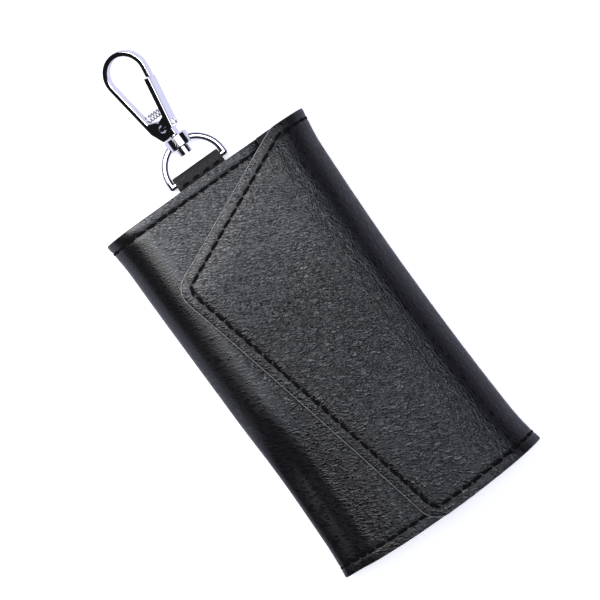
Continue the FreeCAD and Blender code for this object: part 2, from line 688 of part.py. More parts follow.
# Strap loop at the top edge
strap_top = "leather + 2*strap_layer"
side = [("half_length - strap_tail", "leather"), ("bar_y", "leather")]
side += [("bar_y + strap_loop_r", "bar_z", "strap_loop_r", 1)]
side += [("bar_y", "bar_z + strap_loop_r", "strap_loop_r", 1)]
side += [("half_length + 0.5", strap_top), ("half_length - strap_tail", strap_top)]
strap = new_body("hook_strap")
bar_hole = ("bar_y", "bar_z", "bar_r + bar_fit")
grow(strap, sketch_on(strap, "YZ_Plane", [side], [bar_hole]), "strap_width")
nodes.append(strap)


# Ring with a straight bar in the strap, and the collar of the swivel
def hang(thing, roll=0):
    """Places a piece of the hook, drawn from the bar of the ring along Y."""
    settle(thing, "0", "bar_y", "bar_z")
    tilt = FreeCAD.Rotation(FreeCAD.Vector(1, 0, 0), number("dee_tilt"))
    turned = tilt * FreeCAD.Rotation(FreeCAD.Vector(0, 1, 0), -roll)
    thing.Placement = FreeCAD.Placement(thing.Placement.Base, turned)
    nodes.append(thing)
    return thing


along_y = ((1, 0, 0), -90)
arch = doc.addObject("Part::Torus", "dee_arch")
bind(arch, Radius1="dee_half", Radius2="bar_r")
arch.Angle3 = 180
settle(arch, "0", "dee_leg")
parts = [arch, post("dee_bar", "bar_r", "2*dee_half", "-dee_half", "0", "0", (0, 1, 0), 90)]
for side in ("-", "+"):
    name = "low" if side == "-" else "high"
    parts.append(post("dee_leg_" + name, "bar_r", "dee_leg", side + "dee_half", "0", "0", *along_y))
    ball = doc.addObject("Part::Sphere", "dee_corner_" + name)
    bind(ball, Radius="bar_r")
    parts.append(settle(ball, side + "dee_half"))
parts.append(post("collar", "collar_r", "collar_high - 0.8", "0", "collar_low + 0.4", "0", *along_y))
for name, y, axis in (("low", "collar_low + 0.4", ((1, 0, 0), 90)), ("high", "collar_top - 0.4", along_y)):
    rim = dome("collar_rim_" + name, "collar_r", "0.4", "0", y, "0", *axis)
    rim.setExpression("Radius2", bound("collar_r - 0.4"))
    parts.append(rim)
bore = post("collar_bore", "stem_r + stem_fit", "collar_high + 2", "0", "collar_low - 1", "0", *along_y)
hang(cut("swivel_ring", fuse("swivel_blank", parts), bore))

# Snap hook: forged loop on a swivel stem
roll = number("hook_roll")
hook_line = [("base_low_x", "base_low"), ("base_high_x", "base_low"), ("base_high_x", "base_step")]
hook_line += [("base_step_x", "base_step + 1"), ("base_step_x", "base_top - 1")]
hook_line += [("base_step_x - 2.2", "base_top")]
hook_line += [("left_in_x + (in_y - base_top - 0.9)*tan(limb_lean)", "base_top + 0.9"), ("left_in_x", "in_y")]
hook_line += [("loop_x", "loop_y + inner_r", "inner_r", -1), ("right_in_x", "in_y", "inner_r", -1)]
hook_line += [("right_in_x - (in_y - nose_y - nose_slope)*tan(limb_lean)", "nose_y + nose_slope")]
hook_line += [("nose_x", "nose_y"), ("right_out_x", "out_y")]
hook_line += [("loop_x", "loop_y + loop_r", "loop_r", 1), ("left_out_x", "out_y", "loop_r", 1)]
hook_line += [("left_out_x + (out_y - base_low - 3.7)*tan(limb_lean)", "base_low + 3.7")]
hook_body = new_body("hook_body")
grow(hook_body, sketch_on(hook_body, "XY_Plane", [hook_line]), "limb_deep")
face = number("limb_deep/2")
round_edges(hook_body, "limb_round", lambda e: abs(abs(e.CenterOfMass.z) - face) < 0.001)
pivot_hole = [("pivot_x", "pivot_y", "pivot_r + pivot_fit")]
drill(hook_body, pivot_hole, "2*limb_deep")
stem = sketch_on(hook_body, "XZ_Plane", circles=[("0", "0", "stem_r")], level="-(collar_y)")
grow(hook_body, stem, "collar_high + 2*swivel_gap + 0.4")
head_level = "-(collar_low - swivel_gap - stem_head_high/2)"
head = sketch_on(hook_body, "XZ_Plane", circles=[("0", "0", "stem_head_r")], level=head_level)
grow(hook_body, head, "stem_head_high")
hang(hook_body, roll)

# Gate: channel that closes the loop, on a rivet through the base
gate_line = [("gate_tip_x", "gate_tip_y")]
tip_in = ("pivot_x + gate_reach*cos(gate_tip_in)", "pivot_y + gate_reach*sin(gate_tip_in)")
gate_line += [tip_in + ("gate_reach", 1)]
gate_line += [("gate_foot_x + (gate_neck_y - gate_foot_y)*gate_slope - gate_neck", "gate_neck_y")]
gate_line += [("pivot_x + cheek_r*cos(125)", "pivot_y + cheek_r*sin(125)")]
gate_line += [("pivot_x + cheek_r*cos(240)", "pivot_y + cheek_r*sin(240)", "cheek_r", 1)]
gate_line += [("pivot_x + cheek_r*cos(290)", "pivot_y + cheek_r*sin(290)", "cheek_r", 1)]
gate_line += [("gate_foot_x", "gate_foot_y")]
wall_x = "gate_foot_x + (%s - gate_foot_y)*gate_slope - gate_wall"
channel = [(wall_x % "gate_solid", "gate_solid"), ("-8", "gate_solid"), ("-8", "8"), ("8", "8")]
channel += [("8", "gate_web_low"), (wall_x % "gate_web_low", "gate_web_low")]
gate = new_body("hook_gate")
grow(gate, sketch_on(gate, "XY_Plane", [gate_line]), "gate_deep")
side = number("gate_deep/2")
spine = FreeCAD.Vector(number("(gate_tip_x + gate_foot_x)/2"), number("(gate_tip_y + gate_foot_y)/2"), 0)


def along_spine(edge):
    """True for the two long outer edges of the gate."""
    middle = edge.CenterOfMass
    return abs(abs(middle.z) - side) < 0.001 and middle.distanceToPoint(spine) < side + 0.01


round_edges(gate, "gate_round", along_spine)
carve(gate, sketch_on(gate, "XY_Plane", [channel]), "limb_deep + 2*cheek_fit")
drill(gate, pivot_hole, "2*gate_deep")
hang(gate, roll)
pin_low, pin_high = "-gate_deep/2 - 0.05", "gate_deep/2 + 0.05"
pin = post("gate_pin", "pivot_r", "gate_deep + 0.1", "pivot_x", "pivot_y", pin_low)
top = dome("gate_pin_top", "rivet_head_r", "rivet_head_high", "pivot_x", "pivot_y", pin_high)
under = dome("gate_pin_under", "rivet_head_r", "rivet_head_high", "pivot_x", "pivot_y", pin_low, (1, 0, 0), 180)
hang(fuse("gate_rivet", [pin, top, under]), roll)

# Gate spring: coil between the fixed limb and the gate
spring_r = number("spring_r")
spring_turns = number("spring_turns")
spring_long = number("spring_end - spring_start")


def coil_spot(turn):
    angle = 2 * math.pi * turn
    x = number("spring_start") + spring_long * turn / spring_turns
    return FreeCAD.Vector(x, number("spring_y") + spring_r * math.cos(angle), spring_r * math.sin(angle))


coil_edges = []
for i in range(int(spring_turns * 4)):
    a = i / 4
    coil_edges.append(Part.Arc(coil_spot(a), coil_spot(a + 0.125), coil_spot(a + 0.25)).toShape())
hang(tube("gate_spring", coil_edges, number("spring_wire_r")), roll)
print("gap between spring turns", round(spring_long / spring_turns - 2 * number("spring_wire_r"), 3))
print("gap between ring turns", number("ring_turn_gap"))

# Check every object, then write one file for each node
doc.removeObject("Slate")
doc.recompute()
for thing in doc.Objects:
    if "Invalid" in thing.State or "Error" in thing.State:
        raise ValueError("not solved: " + thing.Label)
os.makedirs("parts", exist_ok=True)
for node in nodes:
    if node.Shape.isNull() or not node.Shape.isValid():
        raise ValueError("bad shape: " + node.Label)
    node.Shape.exportStep("parts/" + node.Label + ".step")
    box = node.Shape.BoundBox
    reach = [round(v, 2) for v in (box.XMin, box.XMax, box.YMin, box.YMax, box.ZMin, box.ZMax)]
    print(node.Label, len(node.Shape.Solids), round(node.Shape.Volume, 2), reach)
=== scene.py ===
import math
import bpy
from mathutils import Matrix, Vector, noise


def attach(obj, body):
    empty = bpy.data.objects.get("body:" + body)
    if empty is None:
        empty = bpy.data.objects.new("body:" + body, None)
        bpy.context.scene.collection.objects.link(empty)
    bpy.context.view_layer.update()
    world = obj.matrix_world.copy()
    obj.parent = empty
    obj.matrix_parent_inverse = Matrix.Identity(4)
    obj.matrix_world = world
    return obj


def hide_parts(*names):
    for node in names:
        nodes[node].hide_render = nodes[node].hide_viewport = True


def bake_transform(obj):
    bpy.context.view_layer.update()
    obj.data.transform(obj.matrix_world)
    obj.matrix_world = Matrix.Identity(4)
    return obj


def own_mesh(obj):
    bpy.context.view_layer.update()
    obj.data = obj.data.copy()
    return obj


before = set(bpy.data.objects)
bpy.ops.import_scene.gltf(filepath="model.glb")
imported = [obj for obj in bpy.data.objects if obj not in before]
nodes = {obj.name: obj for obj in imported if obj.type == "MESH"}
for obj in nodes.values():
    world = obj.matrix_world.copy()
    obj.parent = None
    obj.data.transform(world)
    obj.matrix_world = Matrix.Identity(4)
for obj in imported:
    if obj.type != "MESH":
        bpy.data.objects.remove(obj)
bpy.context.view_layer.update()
MM = 0.001

# Outer leather of the back: one strip of black cowhide, 1.2 mm thick, goes round the whole case.
# This piece is its middle: the flat back, the foot of the left fold and half of the right fold.
# The strip is cut to shape, painted along its edges, folded over a former and sewn all round.
CASE_HALF = 57.0
LEATHER = 1.2
LINING = 0.8
LAYERS = LEATHER + LINING
RIGHT_FOLD = (26.5, 6.0, 16.0)
LEFT_FOLD = (27.5, 5.0, 11.6)
SHOULDER = math.radians(120)
DROOP_START, DROOP_RUN, DROOP = 11.5, 9.0, 2.5
RIGHT_SPLIT = 34.88
LEFT_SPLIT = -32.74
SEAM_IN, SEAM_WIDE, SEAM_DEEP = 3.0, 0.55, 0.34
EDGE_WIDE, EDGE_DEEP = 0.55, 0.18
FLARE_START, FLARE_RUN = 45, 12
RIGHT_FLARE, RIGHT_DRAW, RIGHT_DRAW_RUN = 1.2, 1.35, 50
LEFT_FLARE, LEFT_DRAW, LEFT_DRAW_AT, LEFT_DRAW_RUN = 0.9, 0.55, -26, 18
LEFT_SPREAD = 0.35
DRIFT_START, DRIFT_END = 14, 30
LOW_BOW, LOW_BOW_REACH = 2.2, 38
SMOOTH_TURN = math.radians(40)


def fold_at(run):
    """Point and outward normal of the strip's outer face in X and Z, at a run from the back's middle."""
    side = 1 if run >= 0 else -1
    flat, low, high = RIGHT_FOLD if run >= 0 else LEFT_FOLD
    run = abs(run)
    if run <= flat:
        return side * run, 0.0, 0.0, -1.0
    run -= flat
    middle, level, radius = flat, low, low
    turn = run / low
    if turn > SHOULDER:
        run -= low * SHOULDER
        middle = flat + (low - high) * math.sin(SHOULDER)
        level = low - (low - high) * math.cos(SHOULDER)
        radius = high
        turn = SHOULDER + run / high
    if turn > math.pi:
        run -= high * (math.pi - SHOULDER)
        across = side * (middle - run)
        sink = min(max((across - DROOP_START) / DROOP_RUN, 0.0), 1.2) if side < 0 else 0.0
        return across, level + radius - DROOP * sink * sink, 0.0, 1.0
    out_x, out_z = side * math.sin(turn), -math.cos(turn)
    return side * (middle + radius * math.sin(turn)), level - radius * math.cos(turn), out_x, out_z


def step_up(value, start, end):
    """Straight step from 0 at the start to 1 at the end."""
    return min(max((value - start) / (end - start), 0), 1)


def ramp(value, start, end):
    """Smooth step from 0 at the start to 1 at the end."""
    share = step_up(value, start, end)
    return share * share * (3 - 2 * share)


def slack(x, along):
    """How far the worn leather has drifted from the former in X and Y: the folds are drawn in at the
    middle and flare at their ends, and the low edge bows out."""
    flare = max((abs(along) - FLARE_START) / FLARE_RUN, 0) ** 2
    right = RIGHT_FLARE * flare - RIGHT_DRAW * (1 - (along / RIGHT_DRAW_RUN) ** 2)
    left = LEFT_FLARE * flare - LEFT_DRAW * math.exp(-((along - LEFT_DRAW_AT) / LEFT_DRAW_RUN) ** 2)
    left += LEFT_SPREAD * ramp(along, 0, 40)
    drift = right * ramp(x, DRIFT_START, DRIFT_END) - left * ramp(-x, DRIFT_START, DRIFT_END)
    return drift, -LOW_BOW * (1 - (x / LOW_BOW_REACH) ** 2) * max(-along / CASE_HALF, 0) ** 2


def laid(run, along, rise):
    """Point in metres of a spot on the flat strip, at a rise over its outer face."""
    x, z, out_x, out_z = fold_at(run)
    drift_x, drift_y = slack(x, along)
    return (x + out_x * rise + drift_x) * MM, (along + drift_y) * MM, (z + out_z * rise) * MM


def edge_gap(spot, edges, corners):
    """Distance from a spot on the flat strip to its cut outline, with rounded corners."""
    gap = min((point - spot).dot(out) for point, out in edges)
    for centre, radius, out_a, out_b in corners:
        off = spot - centre
        turn = out_a.cross(out_b)
        if out_a.cross(off) * turn > 0 and off.cross(out_b) * turn > 0 and off.dot(out_a + out_b) > 0:
            gap = min(gap, radius - off.length)
    return gap


def rounded(edges, radii):
    """Corner circles between each edge and the next one in the list."""
    corners = []
    for (point_a, out_a), (point_b, out_b), radius in zip(edges, edges[1:], radii):
        turn = out_a.cross(out_b)
        reach_a, reach_b = point_a.dot(out_a), point_b.dot(out_b)
        meet_x = reach_a * out_b.y - reach_b * out_a.y
        meet_y = out_a.x * reach_b - out_b.x * reach_a
        meet = Vector((meet_x, meet_y)) / turn
        centre = meet - (out_a + out_b) * (radius / (1 + out_a.dot(out_b)))
        corners.append((centre, radius, out_a, out_b))
    return corners


def note_strip(piece, places):
    """Keeps each point's run, place along and gap to the cut edge on the mesh, in mm, for its material."""
    strip = piece.data.attributes.new("strip", "FLOAT_VECTOR", "POINT")
    for item, place in zip(strip.data, places):
        item.vector = place


def wrap_sheet(name, low, high, step, edges, corners, face, thick, inside=False, lift=None, relief=1):
    """Cuts a flat grid along its edges, wraps it round the folds and gives it its thickness."""
    side = -1 if inside else 1
    bpy.ops.object.select_all(action="DESELECT")
    bpy.ops.mesh.primitive_grid_add(
        x_subdivisions=round((high - low) / step), y_subdivisions=round(2 * CASE_HALF / step), size=2)
    piece = bpy.context.object
    piece.name = piece.data.name = name
    middle = (low + high) / 2
    spread = Matrix.Diagonal(((high - low) / 2, CASE_HALF, 1, 1))
    piece.data.transform(Matrix.Translation((middle, 0, 0)) @ spread)
    cuts = list(edges)
    for centre, radius, out_a, out_b in corners:
        for share in (0.1, 0.3, 0.5, 0.7, 0.9):
            out = (out_a * (1 - share) + out_b * share).normalized()
            cuts.append((centre + out * radius, out))
    bpy.ops.object.mode_set(mode="EDIT")
    for point, out in cuts:
        bpy.ops.mesh.select_all(action="SELECT")
        bpy.ops.mesh.bisect(plane_co=(point.x, point.y, 0), plane_no=(out.x, out.y, 0), clear_outer=True)
    bpy.ops.mesh.select_all(action="SELECT")
    bpy.ops.mesh.normals_make_consistent(inside=False)
    bpy.ops.object.mode_set(mode="OBJECT")
    places = []
    for corner in piece.data.vertices:
        run, along = corner.co.x, corner.co.y
        gap = edge_gap(Vector((run, along)), edges, corners)
        places.append((run, along, gap))
        press = SEAM_DEEP * relief * math.exp(-((gap - SEAM_IN) / SEAM_WIDE) ** 2)
        press += EDGE_DEEP * max(1 - gap / EDGE_WIDE, 0) ** 2
        rise = (lift(run, along, gap) if lift else 0) - face - side * press
        corner.co = laid(run, along, rise)
    note_strip(piece, places)
    piece.data.update()
    facing = piece.data.polygons[len(piece.data.polygons) // 2].normal
    out_x, out_z = fold_at(middle)[2:]
    if (facing.x * out_x + facing.z * out_z) * side < 0:
        piece.data.flip_normals()
    wall = piece.modifiers.new("thickness", "SOLIDIFY")
    wall.thickness = thick * MM
    wall.offset = -1
    wall.material_offset_rim = 1
    bpy.ops.object.modifier_apply(modifier=wall.name)
    bpy.ops.object.shade_smooth_by_angle(angle=SMOOTH_TURN)
    return piece


def linear(code):
    """sRGB hex to linear colour."""
    parts = [int(code[i:i + 2], 16) / 255 for i in (1, 3, 5)]
    return [p / 12.92 if p <= 0.04045 else ((p + 0.055) / 1.055) ** 2.4 for p in parts] + [1.0]


def add_node(tree, kind, sockets=None, **settings):
    """Adds one shader node with its settings, values and links."""
    node = tree.nodes.new("ShaderNode" + kind)
    for name, value in settings.items():
        setattr(node, name, value)
    for name, value in (sockets or {}).items():
        if isinstance(value, bpy.types.NodeSocket):
            tree.links.new(value, node.inputs[name])
        else:
            node.inputs[name].default_value = value
    return node


def new_material(name):
    material = bpy.data.materials.new(name)
    material.use_nodes = True
    material.node_tree.nodes.clear()
    return material, material.node_tree


# Embossed cowhide with a glossy finish: pebbles 0.7 mm by 1.5 mm, shallower towards the hook end, and fine
# wrinkles across the strip on its lower half and along the fold on the flap. It is pulled smooth over the
# folds and pressed into a groove along the seams. Painted shade darkens the pebble valleys, the wrinkle
# cracks and the seam groove. The shaved rim is pale, partly its grey edge paint and partly a painted
# highlight.
GRAIN_TURN = 0.3
PEBBLE_DRAWN, WRINKLE_DRAWN = 2.2, 3.0
FOLD_MIDDLE = 40.0
VALLEY_ROUGH = 0.3
GRAIN_DEEP = 0.00017


def wrinkles(tree, drawn, scale):
    """Height of fine wrinkles, with cracks where a drawn-out noise crosses its middle."""
    ripple = add_node(tree, "TexNoise", {"Vector": drawn, "Scale": scale, "Detail": 2.0})
    off = add_node(tree, "Math", {0: ripple.outputs["Fac"], 1: 0.5}, operation="SUBTRACT")
    off = add_node(tree, "Math", {0: off.outputs[0]}, operation="ABSOLUTE")
    return add_node(tree, "MapRange", {"Value": off.outputs[0], "From Max": 0.14},
                    interpolation_type="SMOOTHSTEP").outputs[0]


def cowhide(name, valley_shade, top, edge, gloss, pebble, emboss, worn):
    material, tree = new_material(name)
    strip = add_node(tree, "Attribute", attribute_name="strip").outputs["Vector"]
    place = add_node(tree, "SeparateXYZ", {"Vector": strip})
    flat = add_node(tree, "CombineXYZ", {"X": place.outputs["X"], "Y": place.outputs["Y"]}).outputs[0]
    wander = add_node(tree, "TexNoise", {"Vector": flat, "Scale": 0.5, "Detail": 2.0})
    shift = add_node(tree, "VectorMath", {0: wander.outputs["Color"], 1: (0.5, 0.5, 0.5)},
                     operation="SUBTRACT")
    bent = add_node(tree, "VectorMath", {0: shift.outputs[0], 1: (1.1, 1.1, 0.0), 2: flat},
                    operation="MULTIPLY_ADD").outputs[0]
    drawn = add_node(tree, "Mapping", {
        "Vector": bent, "Scale": (PEBBLE_DRAWN, 1.0, 1.0), "Rotation": (0, 0, GRAIN_TURN)},
        vector_type="TEXTURE")
    cells = add_node(tree, "TexVoronoi", {"Vector": drawn.outputs[0], "Scale": 1 / pebble},
                     feature="DISTANCE_TO_EDGE")
    domes = add_node(tree, "MapRange", {
        "Value": cells.outputs["Distance"], "From Max": 0.26, "To Min": 0.4},
        interpolation_type="SMOOTHSTEP")
    across = add_node(tree, "Mapping", {
        "Vector": bent, "Scale": (WRINKLE_DRAWN, 1.0, 1.0), "Rotation": (0, 0, GRAIN_TURN)},
        vector_type="TEXTURE")
    beside = add_node(tree, "Mapping", {"Vector": bent, "Scale": (1.0, 0.3, 1.0)})
    side = add_node(tree, "Math", {0: place.outputs["X"]}, operation="ABSOLUTE")
    by_fold = add_node(tree, "MapRange", {
        "Value": side.outputs[0], "From Min": 53.0, "From Max": 64.0, "To Min": 1.0, "To Max": 0.0},
        interpolation_type="SMOOTHSTEP").outputs[0]
    on_flap = add_node(tree, "Math", {0: place.outputs["X"], 1: 0.0}, operation="GREATER_THAN")
    by_fold = add_node(tree, "Math", {0: by_fold, 1: on_flap.outputs[0]},
                       operation="MULTIPLY").outputs[0]
    lines = add_node(tree, "Mix", {
        0: by_fold,
        2: wrinkles(tree, across.outputs[0], 0.8),
        3: wrinkles(tree, beside.outputs[0], 0.9)})
    low = add_node(tree, "MapRange", {
        "Value": place.outputs["Y"], "From Min": 10.0, "From Max": 34.0, "To Min": 1.0, "To Max": 0.15},
        interpolation_type="SMOOTHSTEP")
    share = add_node(tree, "Math", {0: low.outputs[0], 1: by_fold}, operation="MAXIMUM")
    share = add_node(tree, "Math", {0: share.outputs[0], 1: worn}, operation="MULTIPLY")
    furrow = add_node(tree, "Mix", {0: share.outputs[0], 2: 1.0, 3: lines.outputs[0]})
    # Painted shade: where the pebble domes and wrinkle furrows are low, the colour goes to the darker
    # valley colour.
    grain_valley_shade = add_node(tree, "Math", {0: domes.outputs[0], 1: furrow.outputs[0]}, operation="MULTIPLY")
    height = add_node(tree, "Math", {0: furrow.outputs[0], 1: 0.9, 2: domes.outputs[0]},
                      operation="MULTIPLY_ADD")
    off_fold = add_node(tree, "Math", {0: side.outputs[0], 1: FOLD_MIDDLE}, operation="SUBTRACT")
    off_fold = add_node(tree, "Math", {0: off_fold.outputs[0]}, operation="ABSOLUTE")
    rest = add_node(tree, "MapRange", {
        "Value": off_fold.outputs[0], "From Min": 7.0, "From Max": 14.0,
        "To Min": 0.25 * emboss, "To Max": emboss},
        interpolation_type="SMOOTHSTEP")
    sewn = add_node(tree, "MapRange", {
        "Value": place.outputs["Z"], "From Min": 2.4, "From Max": 3.8, "To Min": 0.85},
        interpolation_type="SMOOTHSTEP")
    depth = add_node(tree, "Math", {0: rest.outputs[0], 1: sewn.outputs[0]}, operation="MULTIPLY")
    fine = add_node(tree, "MapRange", {
        "Value": place.outputs["Y"], "From Min": 12.0, "From Max": 36.0, "To Min": 1.0, "To Max": 0.8})
    depth = add_node(tree, "Math", {0: depth.outputs[0], 1: fine.outputs[0]}, operation="MULTIPLY")
    # Painted shade: the seam groove, within about half a millimetre of the stitch line, is coloured dark.
    off_seam = add_node(tree, "Math", {0: place.outputs["Z"], 1: SEAM_IN}, operation="SUBTRACT")
    off_seam = add_node(tree, "Math", {0: off_seam.outputs[0]}, operation="ABSOLUTE")
    clear = add_node(tree, "MapRange", {"Value": off_seam.outputs[0], "From Min": 0.3, "From Max": 0.6})
    shade_and_rough_mix = add_node(tree, "Math", {0: grain_valley_shade.outputs[0], 1: clear.outputs[0]}, operation="MULTIPLY")
    colour = add_node(tree, "Mix", {0: shade_and_rough_mix.outputs[0], 6: linear(valley_shade), 7: linear(top)},
                      data_type="RGBA")
    # Pale rim: within 0.22 mm of the cut edge the edge colour takes over, partly grey edge paint and partly
    # a painted highlight.
    shaved_rim_highlight = add_node(tree, "MapRange", {
        "Value": place.outputs["Z"], "From Min": 0.1, "From Max": 0.22, "To Min": 1.0, "To Max": 0.0})
    colour = add_node(tree, "Mix", {0: shaved_rim_highlight.outputs[0], 6: colour.outputs[2], 7: linear(edge)},
                      data_type="RGBA")
    rough = add_node(tree, "MapRange", {
        "Value": shade_and_rough_mix.outputs[0], "To Min": gloss + VALLEY_ROUGH, "To Max": gloss})
    bump = add_node(tree, "Bump", {
        "Height": height.outputs[0], "Strength": depth.outputs[0], "Distance": GRAIN_DEEP})
    skin = add_node(tree, "BsdfPrincipled", {
        "Base Color": colour.outputs[2], "Roughness": rough.outputs[0], "Normal": bump.outputs[0]})
    add_node(tree, "OutputMaterial", {"Surface": skin.outputs[0]})
    return material


outer_hide = cowhide("embossed_black_cowhide", "#020203", "#111113", "#4a4b50",
                     gloss=0.17, pebble=0.7, emboss=0.85, worn=1.0)


# Painted cut edge: grey split leather sealed with a thin satin paint, a little uneven along its run.
def edge_paint(name, dark, pale):
    material, tree = new_material(name)
    place = add_node(tree, "TexCoord").outputs["Object"]
    streak = add_node(tree, "TexNoise", {"Vector": place, "Scale": 900.0, "Detail": 3.0})
    colour = add_node(tree, "Mix", {0: streak.outputs["Fac"], 6: linear(dark), 7: linear(pale)},
                      data_type="RGBA")
    bump = add_node(tree, "Bump", {"Height": streak.outputs["Fac"], "Strength": 0.3, "Distance": 0.0001})
    skin = add_node(tree, "BsdfPrincipled", {
        "Base Color": colour.outputs[2], "Roughness": 0.45, "Normal": bump.outputs[0]})
    add_node(tree, "OutputMaterial", {"Surface": skin.outputs[0]})
    return material


# The pale edge on the flap and its lining is partly grey edge paint and partly a painted highlight.
pale_edge_highlight = edge_paint("painted_cut_edge_and_highlight", "#66676a", "#9a9b9e")
dark_edge = edge_paint("black_cut_edge", "#141416", "#2a2a2d")
top_edge = (Vector((0, CASE_HALF)), Vector((0, 1)))
low_edge = (Vector((0, -CASE_HALF)), Vector((0, -1)))
plain_edges = [top_edge, low_edge]
back_hide = wrap_sheet("back_hide", LEFT_SPLIT, RIGHT_SPLIT, 0.8, plain_edges, [], 0, LEATHER)
back_hide.data.materials.append(outer_hide)
back_hide.data.materials.append(dark_edge)
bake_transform(back_hide)
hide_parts("back_leather", "right_spine_leather")

# Outer leather of the flap: the same strip from the crown of the right fold to the pointed free end.
# Its two slanting edges meet in a rounded tip, and they hang down a little towards the front panel.
# Their shaved rims are paler than on the rest of the strip: partly grey edge paint, partly a painted
# highlight.
flap_skin = cowhide("embossed_black_flap_cowhide", "#020203", "#111113", "#86868a",
                    gloss=0.17, pebble=0.7, emboss=0.85, worn=1.0)
FLAP_END = 99.4
CORNER_ROUND, TIP_ROUND = 4.5, 6.3
HANG, HANG_REACH = 1.15, 11.0
SWELL, RIPPLE = 0.16, 0.1
CREASE, CREASE_SHARP = 0.14, 3.2
DIP, DIP_WIDE = 0.8, 6.5
tip = Vector((99.26, 35.0))
slant_top = (tip, Vector((22.0, 48.1)).normalized())
slant_side = (tip, Vector((92.0, -21.0)).normalized())
flap_edges = [top_edge, slant_top, slant_side, low_edge]
flap_corners = rounded(flap_edges, (CORNER_ROUND, TIP_ROUND, TIP_ROUND))


def flap_lift(run, along, gap):
    """Soft swell and creases of the flap, a dip below its upper corner, and the hang of its free edges."""
    spot = Vector((run, along))
    free = min((slant_top[0] - spot).dot(slant_top[1]), (slant_side[0] - spot).dot(slant_side[1]))
    hang = HANG * max(1 - max(free, 0) / HANG_REACH, 0) ** 2
    calm = step_up(run, RIGHT_SPLIT, RIGHT_SPLIT + 12)
    swell = SWELL * math.sin(run / 7.3 + 0.5) * math.sin(along / 12.1 + 0.4)
    swell += RIPPLE * math.sin(along / 6.9 - run / 11.0)
    across = abs(noise.noise(Vector((run / 15 + along / 30, along / 3.4 - run / 7, 2.0))))
    beside = abs(noise.noise(Vector((run / 3.2 + along / 30, along / 17, 7.0))))
    low = step_up(-along, -28, -12) * step_up(run, 54, 62)
    near = step_up(run, 48, 53) * step_up(-run, -63, -56) * step_up(along, -30, -10)
    sewn = step_up(gap, 4, 9)
    crease = low * min(across * CREASE_SHARP, 1) + near * min(beside * CREASE_SHARP, 1) - low - near
    dip = math.exp(-((along - 23 - (run - 78) / 6) / DIP_WIDE) ** 2)
    dip *= ramp(run, 60, 72) * (1 - ramp(run, 80, 90))
    return calm * swell + CREASE * sewn * crease - DIP * dip - hang


flap_hide = wrap_sheet(
    "flap_hide", RIGHT_SPLIT, FLAP_END, 0.45, flap_edges, flap_corners, 0, LEATHER, lift=flap_lift)
flap_hide.data.materials.append(flap_skin)
flap_hide.data.materials.append(pale_edge_highlight)
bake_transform(flap_hide)
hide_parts("flap_leather")

# Outer leather of the front panel: the other end of the strip, from the left fold to under the flap.
# It lies over the keys and sinks towards its free edge, which the flap covers.
PANEL_END, PANEL_SPARE = -92.4, 0.6
PANEL_SAG, PANEL_SWELL, SNAP_PRESS = 3.2, 0.14, 0.2
PANEL_SNAPS = (Vector((-63.88, 26.0)), Vector((-78.88, -40.0)))
panel_edge = (Vector((PANEL_END, 0)), Vector((-1, 0)))
panel_edges = [top_edge, panel_edge, low_edge]
panel_corners = rounded(panel_edges, (3.0, CORNER_ROUND))


def panel_lift(run, along, gap):
    """Soft swell of the front panel, pressed in under its snaps, and the sag of its low half."""
    by_snap = min((Vector((run, along)) - snap).length for snap in PANEL_SNAPS)
    calm = step_up(-run, -LEFT_SPLIT, 10 - LEFT_SPLIT) * ramp(by_snap, 5, 11)
    sag = ramp(-along, 4, 30) * ramp(-run, 34, 44) * (1 - ramp(-run, 45, 62))
    swell = PANEL_SWELL * math.sin(run / 8.1 + 1.1) * math.sin(along / 14.3 + 0.9)
    return calm * swell - SNAP_PRESS * (1 - ramp(by_snap, 4, 7)) - PANEL_SAG * sag


front_hide = wrap_sheet(
    "front_hide", PANEL_END - PANEL_SPARE, LEFT_SPLIT, 0.6, panel_edges, panel_corners, 0, LEATHER,
    lift=panel_lift)
front_hide.data.materials.append(outer_hide)
front_hide.data.materials.append(dark_edge)
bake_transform(front_hide)
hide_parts("front_leather")

# Lining: dark grey embossed split leather, 0.8 mm thick, glued inside the back, flap and front panel.
# It is trimmed with the strip, so its edges are flush with the outer leather.
lining_hide = cowhide("embossed_grey_lining", "#121214", "#2b2b2e", "#4a4b4e",
                      gloss=0.38, pebble=1.0, emboss=1.0, worn=0.1)
BAND_LOW_RIGHT, BAND_HIGH_RIGHT = 29.12, 56.2
BAND_LOW_LEFT, BAND_HIGH_LEFT = -29.68, -50.6
back_lining = wrap_sheet(
    "back_lining_hide", BAND_LOW_LEFT, BAND_LOW_RIGHT, 0.9, plain_edges, [], LAYERS, LINING, inside=True)
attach(back_lining, "back")
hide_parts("back_lining")
flap_lining = wrap_sheet(
    "flap_lining_hide", BAND_HIGH_RIGHT, FLAP_END, 0.8, flap_edges, flap_corners, LAYERS, LINING,
    inside=True, lift=flap_lift)
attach(flap_lining, "flap")
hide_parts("flap_lining")
front_lining = wrap_sheet(
    "front_lining_hide", PANEL_END - PANEL_SPARE, BAND_HIGH_LEFT, 0.8, panel_edges, panel_corners,
    LAYERS, LINING, inside=True, lift=panel_lift)
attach(front_lining, "front_panel")
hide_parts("front_lining")
for lining in (back_lining, flap_lining, front_lining):
    lining.data.materials.append(lining_hide)
    lining.data.materials.append(pale_edge_highlight if lining == flap_lining else dark_edge)


